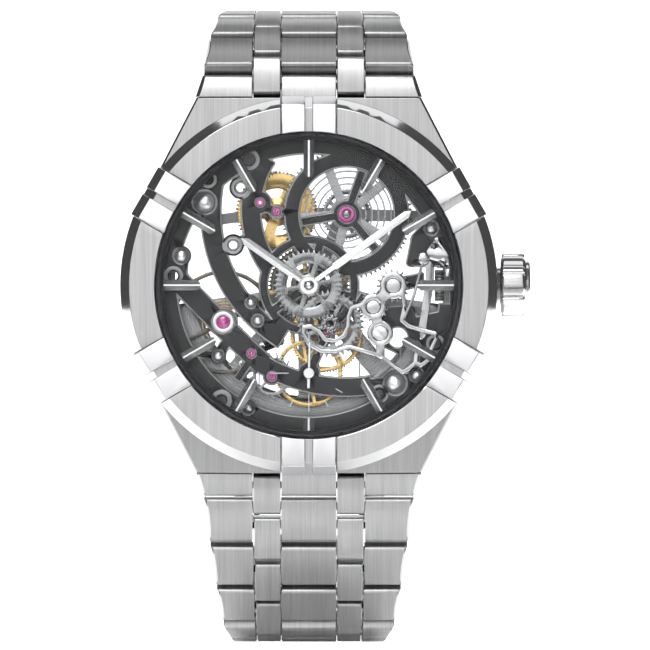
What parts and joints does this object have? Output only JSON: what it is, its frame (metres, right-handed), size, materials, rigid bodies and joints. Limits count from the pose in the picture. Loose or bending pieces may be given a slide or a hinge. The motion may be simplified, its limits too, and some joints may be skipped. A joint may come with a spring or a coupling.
{
  "type": "skeleton wristwatch",
  "caption": "Skeleton wristwatch: round steel case with clawed bezel, open-worked automatic movement, baton hands, pull-out crown and a hinged link bracelet with a folding clasp",
  "frame": {"origin": "on the hands' axis, in the plane of the case back crystal's outer face", "axes": "+Z to 12 o'clock, +X to the crown at 3 o'clock, the dial faces -Y and the wrist side is +Y"},
  "size_m": [0.0424, 0.0456, 0.0662],
  "materials": {
    "brushed_steel": "satin brushed stainless steel",
    "polished_steel": "polished stainless steel",
    "dark_plate": "fine sandblasted, dark grey galvanic coat, bright bevelled edges",
    "rear_bridge": "fine grained grey coat",
    "wheel_steel": "circular grained steel",
    "wheel_gold": "gilt brass",
    "ruby": "polished synthetic ruby",
    "crystal": "clear sapphire crystal"
  },
  "bodies": {
    "case": {"case_middle": "brushed_steel", "bezel": "brushed_steel", "bezel_claws": "polished_steel", "front_crystal": "crystal", "flange_ring": "dark_plate", "case_back": "brushed_steel", "back_crystal": "crystal", "case_back_screws": "polished_steel", "main_plate": "dark_plate", "train_bridge": "rear_bridge", "hour_markers": "polished_steel", "jewels": "ruby", "movement_screws": "polished_steel", "keyless_plate": "wheel_steel", "end_link_12": "brushed_steel", "end_link_6": "brushed_steel"},
    "minute": {"centre_wheel": "wheel_gold", "minute_hand": "polished_steel"},
    "barrel": {"barrel": "wheel_steel", "mainspring": "wheel_steel"},
    "third": {"third_wheel": "wheel_gold"},
    "seconds": {"fourth_wheel": "wheel_gold", "seconds_hand": "polished_steel"},
    "escape": {"escape_wheel": "wheel_steel"},
    "minute_works": {"minute_wheel": "wheel_steel"},
    "hour": {"hour_wheel": "wheel_steel", "hour_hand": "polished_steel"},
    "setting_a": {"setting_wheel_a": "wheel_steel"},
    "setting_b": {"setting_wheel_b": "wheel_steel"},
    "rotor": {"rotor": "rear_bridge"},
    "reduction": {"reduction_wheel": "wheel_gold"},
    "balance": {"balance_wheel": "wheel_gold", "hairspring": "wheel_gold"},
    "pallet": {"pallet_fork": "wheel_steel"},
    "clutch": {"sliding_pinion": "wheel_steel"},
    "crown": {"crown": "brushed_steel"},
    "ratchet": {"ratchet_wheel": "wheel_steel"},
    "lever": {"setting_lever": "wheel_steel"},
    "yoke": {"yoke": "wheel_steel"},
    "link_12_1": {"link_12_1": "brushed_steel"},
    "link_12_2": {"link_12_2": "brushed_steel"},
    "link_12_3": {"link_12_3": "brushed_steel"},
    "link_12_4": {"link_12_4": "brushed_steel"},
    "link_12_5": {"link_12_5": "brushed_steel"},
    "link_12_6": {"link_12_6": "brushed_steel"},
    "link_12_7": {"link_12_7": "brushed_steel"},
    "link_6_1": {"link_6_1": "brushed_steel"},
    "link_6_2": {"link_6_2": "brushed_steel"},
    "link_6_3": {"link_6_3": "brushed_steel"},
    "link_6_4": {"link_6_4": "brushed_steel"},
    "link_6_5": {"link_6_5": "brushed_steel"},
    "link_6_6": {"link_6_6": "brushed_steel"},
    "link_6_7": {"link_6_7": "brushed_steel"},
    "link_6_8": {"link_6_8": "brushed_steel"},
    "link_6_9": {"link_6_9": "brushed_steel"},
    "clasp_blade_b": {"clasp_blade_b": "brushed_steel"},
    "clasp_blade_a": {"clasp_blade_a": "brushed_steel"},
    "clasp_cover": {"clasp_cover": "brushed_steel"},
    "button_left": {"clasp_button_left": "polished_steel"},
    "button_right": {"clasp_button_right": "polished_steel"}
  },
  "joints": [
    {"name": "minute_hand_turn", "type": "hinge", "parent": "case", "child": "minute", "pos_m": [0, -0.00605, 0], "axis": [0, 1, 0], "continuous": true},
    {"name": "barrel_turn", "type": "hinge", "parent": "case", "child": "barrel", "pos_m": [0.00391, -0.00605, 0.00736], "axis": [0, 1, 0], "continuous": true},
    {"name": "third_wheel_turn", "type": "hinge", "parent": "case", "child": "third", "pos_m": [0.0018, -0.00605, -0.0052], "axis": [0, 1, 0], "continuous": true},
    {"name": "seconds_hand_turn", "type": "hinge", "parent": "case", "child": "seconds", "pos_m": [0, -0.00605, -0.00908], "axis": [0, 1, 0], "continuous": true},
    {"name": "escape_wheel_turn", "type": "hinge", "parent": "case", "child": "escape", "pos_m": [-0.00383, -0.00605, -0.00942], "axis": [0, 1, 0], "continuous": true},
    {"name": "minute_wheel_turn", "type": "hinge", "parent": "case", "child": "minute_works", "pos_m": [0.00219, -0.00605, -0.00395], "axis": [0, 1, 0], "continuous": true},
    {"name": "hour_hand_turn", "type": "hinge", "parent": "case", "child": "hour", "pos_m": [0, -0.00605, 0], "axis": [0, 1, 0], "continuous": true},
    {"name": "setting_wheel_a_turn", "type": "hinge", "parent": "case", "child": "setting_a", "pos_m": [0.00667, -0.00605, -0.00224], "axis": [0, 1, 0], "continuous": true},
    {"name": "setting_wheel_b_turn", "type": "hinge", "parent": "case", "child": "setting_b", "pos_m": [0.00873, -0.00605, -0.00004], "axis": [0, 1, 0], "continuous": true},
    {"name": "rotor_turn", "type": "hinge", "parent": "case", "child": "rotor", "pos_m": [0, -0.002, 0], "axis": [0, 1, 0], "continuous": true},
    {"name": "reduction_wheel_turn", "type": "hinge", "parent": "case", "child": "reduction", "pos_m": [-0.00333, -0.0028, 0.00763], "axis": [0, 1, 0], "continuous": true},
    {"name": "balance_swing", "type": "hinge", "parent": "case", "child": "balance", "pos_m": [-0.00886, -0.00605, -0.0038], "axis": [0, 1, 0], "range_deg": [-140, 140], "stiffness_Nm_per_rad": 0.000001},
    {"name": "pallet_fork_rock", "type": "hinge", "parent": "case", "child": "pallet", "pos_m": [-0.00593, -0.00605, -0.00705], "axis": [0, 1, 0], "range_deg": [-5, 5]},
    {"name": "crown_turn", "type": "hinge", "parent": "case", "child": "clutch", "pos_m": [0.0135, -0.005, 0], "axis": [1, 0, 0], "continuous": true},
    {"name": "crown_pull", "type": "slide", "parent": "clutch", "child": "crown", "axis": [1, 0, 0], "range_m": [0, 0.001]},
    {"name": "ratchet_turn", "type": "hinge", "parent": "case", "child": "ratchet", "pos_m": [0.00391, -0.003, 0.00736], "axis": [0, 1, 0], "continuous": true},
    {"name": "setting_lever_turn", "type": "hinge", "parent": "case", "child": "lever", "pos_m": [0.01305, -0.00605, 0.0041], "axis": [0, -1, 0], "range_deg": [0, 3.5]},
    {"name": "yoke_turn", "type": "hinge", "parent": "case", "child": "yoke", "pos_m": [0.01185, -0.00605, 0.00275], "axis": [0, 1, 0], "range_deg": [0, 1.8]},
    {"name": "link_12_1_bend", "type": "hinge", "parent": "case", "child": "link_12_1", "pos_m": [0, -0.0046, 0.02285], "axis": [1, 0, 0], "range_deg": [0, 20]},
    {"name": "link_12_2_bend", "type": "hinge", "parent": "link_12_1", "child": "link_12_2", "pos_m": [0, -0.00078, 0.02584], "axis": [1, 0, 0], "range_deg": [0, 18]},
    {"name": "link_12_3_bend", "type": "hinge", "parent": "link_12_2", "child": "link_12_3", "pos_m": [0, 0.00378, 0.02749], "axis": [1, 0, 0], "range_deg": [0, 16]},
    {"name": "link_12_4_bend", "type": "hinge", "parent": "link_12_3", "child": "link_12_4", "pos_m": [0, 0.00862, 0.02783], "axis": [1, 0, 0], "range_deg": [0, 11]},
    {"name": "link_12_5_bend", "type": "hinge", "parent": "link_12_4", "child": "link_12_5", "pos_m": [0, 0.01343, 0.02724], "axis": [1, 0, 0], "range_deg": [0, 10]},
    {"name": "link_12_6_bend", "type": "hinge", "parent": "link_12_5", "child": "link_12_6", "pos_m": [0, 0.01807, 0.02582], "axis": [1, 0, 0], "range_deg": [0, 11]},
    {"name": "link_12_7_bend", "type": "hinge", "parent": "link_12_6", "child": "link_12_7", "pos_m": [0, 0.02235, 0.02355], "axis": [1, 0, 0], "range_deg": [0, 12]},
    {"name": "link_6_1_bend", "type": "hinge", "parent": "case", "child": "link_6_1", "pos_m": [0, -0.0046, -0.02285], "axis": [-1, 0, 0], "range_deg": [0, 6]},
    {"name": "link_6_2_bend", "type": "hinge", "parent": "link_6_1", "child": "link_6_2", "pos_m": [0, -0.00359, -0.02759], "axis": [-1, 0, 0], "range_deg": [0, 18]},
    {"name": "link_6_3_bend", "type": "hinge", "parent": "link_6_2", "child": "link_6_3", "pos_m": [0, -0.00117, -0.03179], "axis": [-1, 0, 0], "range_deg": [0, 16]},
    {"name": "link_6_4_bend", "type": "hinge", "parent": "link_6_3", "child": "link_6_4", "pos_m": [0, 0.00232, -0.03516], "axis": [-1, 0, 0], "range_deg": [0, 20]},
    {"name": "link_6_5_bend", "type": "hinge", "parent": "link_6_4", "child": "link_6_5", "pos_m": [0, 0.00707, -0.03617], "axis": [-1, 0, 0], "range_deg": [0, 11]},
    {"name": "link_6_6_bend", "type": "hinge", "parent": "link_6_5", "child": "link_6_6", "pos_m": [0, 0.01192, -0.03626], "axis": [-1, 0, 0], "range_deg": [0, 11]},
    {"name": "link_6_7_bend", "type": "hinge", "parent": "link_6_6", "child": "link_6_7", "pos_m": [0, 0.01669, -0.03541], "axis": [-1, 0, 0], "range_deg": [0, 12]},
    {"name": "link_6_8_bend", "type": "hinge", "parent": "link_6_7", "child": "link_6_8", "pos_m": [0, 0.02119, -0.0336], "axis": [-1, 0, 0], "range_deg": [0, 12]},
    {"name": "link_6_9_bend", "type": "hinge", "parent": "link_6_8", "child": "link_6_9", "pos_m": [0, 0.02521, -0.03089], "axis": [-1, 0, 0], "range_deg": [0, 12]},
    {"name": "clasp_end_bend", "type": "hinge", "parent": "link_6_9", "child": "clasp_blade_b", "pos_m": [0, 0.02858, -0.0274], "axis": [-1, 0, 0], "range_deg": [0, 12]},
    {"name": "clasp_fold", "type": "hinge", "parent": "clasp_blade_b", "child": "clasp_blade_a", "pos_m": [0, 0.02689, 0.01638], "axis": [1, 0, 0], "range_deg": [0, 100]},
    {"name": "clasp_cover_open", "type": "hinge", "parent": "clasp_blade_a", "child": "clasp_cover", "pos_m": [0, 0.02925, -0.02444], "axis": [-1, 0, 0], "range_deg": [0, 95]},
    {"name": "clasp_button_left_press", "type": "slide", "parent": "clasp_cover", "child": "button_left", "axis": [1, 0, 0], "range_m": [0, 0.00045], "stiffness_N_per_m": 800, "springref_m": -0.0006},
    {"name": "clasp_button_right_press", "type": "slide", "parent": "clasp_cover", "child": "button_right", "axis": [-1, 0, 0], "range_m": [0, 0.00045], "stiffness_N_per_m": 800, "springref_m": -0.0006}
  ],
  "couplings": [
    {"joint": "barrel_turn", "follows": "minute_hand_turn", "ratio": -0.25},
    {"joint": "third_wheel_turn", "follows": "minute_hand_turn", "ratio": -8},
    {"joint": "seconds_hand_turn", "follows": "minute_hand_turn", "ratio": 60},
    {"joint": "escape_wheel_turn", "follows": "minute_hand_turn", "ratio": -720},
    {"joint": "minute_wheel_turn", "follows": "minute_hand_turn", "ratio": -0.33333},
    {"joint": "hour_hand_turn", "follows": "minute_hand_turn", "ratio": 0.083333},
    {"joint": "setting_wheel_a_turn", "follows": "minute_hand_turn", "ratio": 0.8},
    {"joint": "setting_wheel_b_turn", "follows": "minute_hand_turn", "ratio": -0.70588},
    {"joint": "reduction_wheel_turn", "follows": "rotor_turn", "ratio": -1},
    {"joint": "ratchet_turn", "follows": "crown_turn", "ratio": -0.375},
    {"joint": "setting_lever_turn", "follows": "crown_pull", "rad_per_m": 60},
    {"joint": "yoke_turn", "follows": "crown_pull", "rad_per_m": 30}
  ]
}
